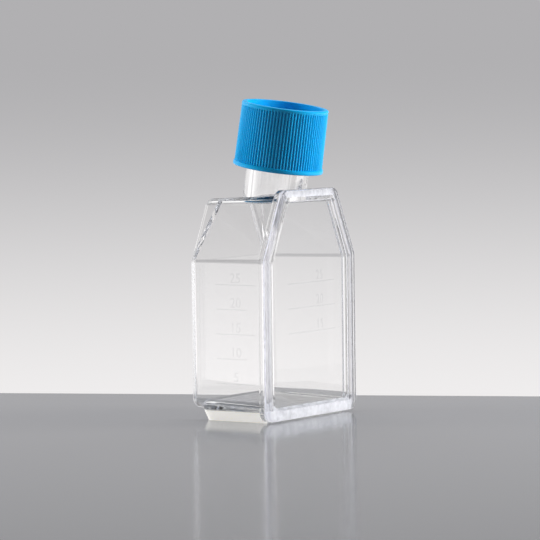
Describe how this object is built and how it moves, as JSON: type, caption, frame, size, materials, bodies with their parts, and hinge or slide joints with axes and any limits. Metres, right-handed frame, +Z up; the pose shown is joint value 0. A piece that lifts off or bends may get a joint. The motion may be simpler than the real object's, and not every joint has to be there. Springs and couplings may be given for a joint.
{
  "type": "cell culture flask",
  "caption": "Clear rectangular cell culture flask with sloped shoulders, a welded top plate and a canted neck under a blue ribbed screw cap, standing on its end.",
  "frame": {"origin": "on the surface the flask stands on, under the middle of the whole flask's box", "axes": "+Z up from the foot to the cap, +Y out of the growth surface, -Y out of the top plate, X across the flask"},
  "size_m": [0.0376, 0.027, 0.0753],
  "materials": {
    "clear_body": "clear moulded polystyrene, gloss",
    "clear_plate": "clear moulded polystyrene, gloss",
    "blue_cap": "blue moulded polyethylene, satin"
  },
  "bodies": {
    "flask": {"flask_body": "clear_body", "top_plate": "clear_plate"},
    "cap": {"screw_cap": "blue_cap"}
  },
  "joints": [
    {"name": "cap_lift", "type": "slide", "parent": "flask", "child": "cap", "axis": [0, -0.1599, 0.9871], "range_m": [0, 0.022]}
  ]
}
